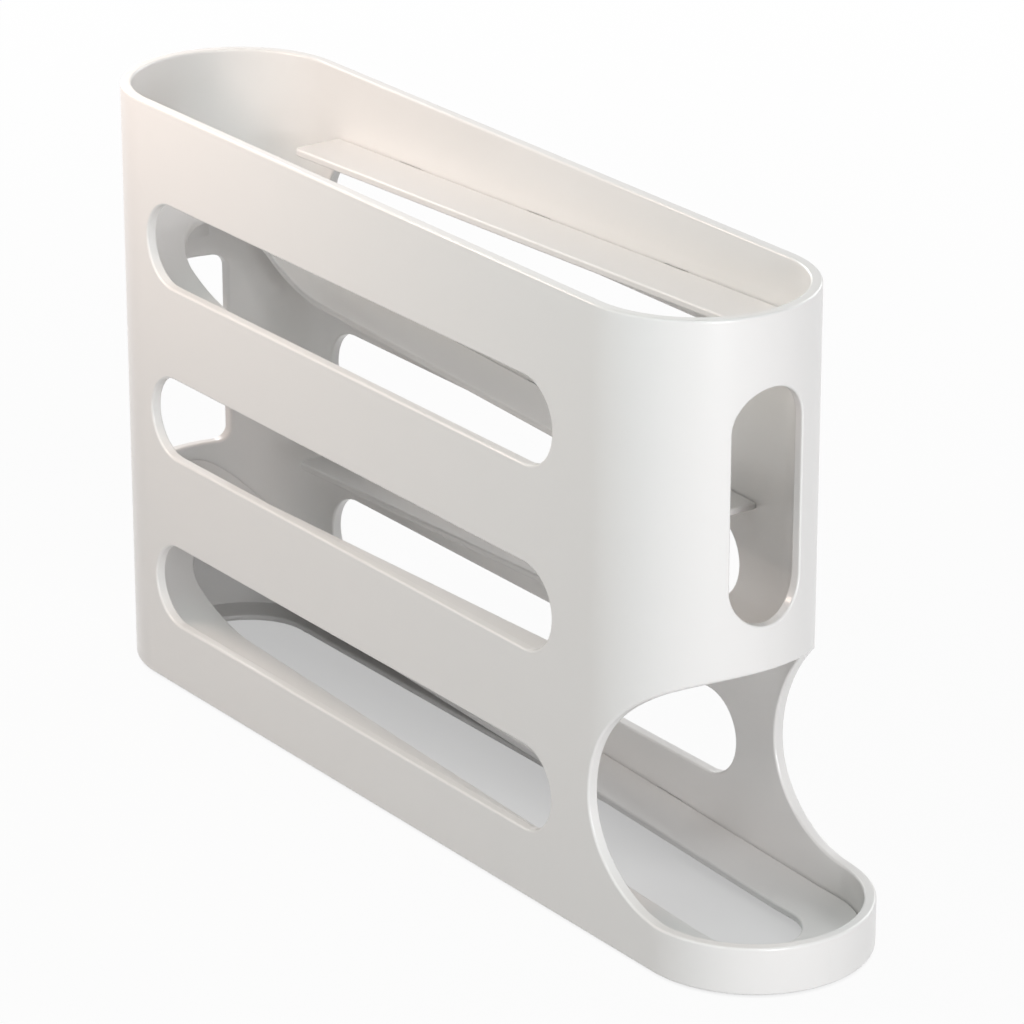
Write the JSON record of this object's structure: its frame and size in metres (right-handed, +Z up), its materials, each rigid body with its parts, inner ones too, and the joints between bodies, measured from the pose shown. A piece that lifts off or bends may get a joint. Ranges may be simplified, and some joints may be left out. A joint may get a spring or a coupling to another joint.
{
  "type": "rolling egg dispenser",
  "caption": "Tall narrow keeper with round ends, long side slots and sloping inner tracks that pass eggs to and fro down to an open pick-up tray.",
  "frame": {"origin": "middle of the box that holds the part, on the surface that its feet stand on", "axes": "+X along the hull towards the open tray, +Y across it to the far side, +Z up"},
  "size_m": [0.3732, 0.08, 0.216],
  "materials": {
    "hull": "satin white moulded plastic",
    "track": "satin white moulded plastic",
    "foot": "pale grey soft rubber"
  },
  "bodies": {
    "root": {"near_side_shell": "hull", "far_side_shell": "hull", "top_track": "track", "second_track": "track", "third_track": "track", "bottom_track": "track", "back_near_foot": "foot", "back_far_foot": "foot", "front_near_foot": "foot", "front_far_foot": "foot"}
  },
  "joints": []
}
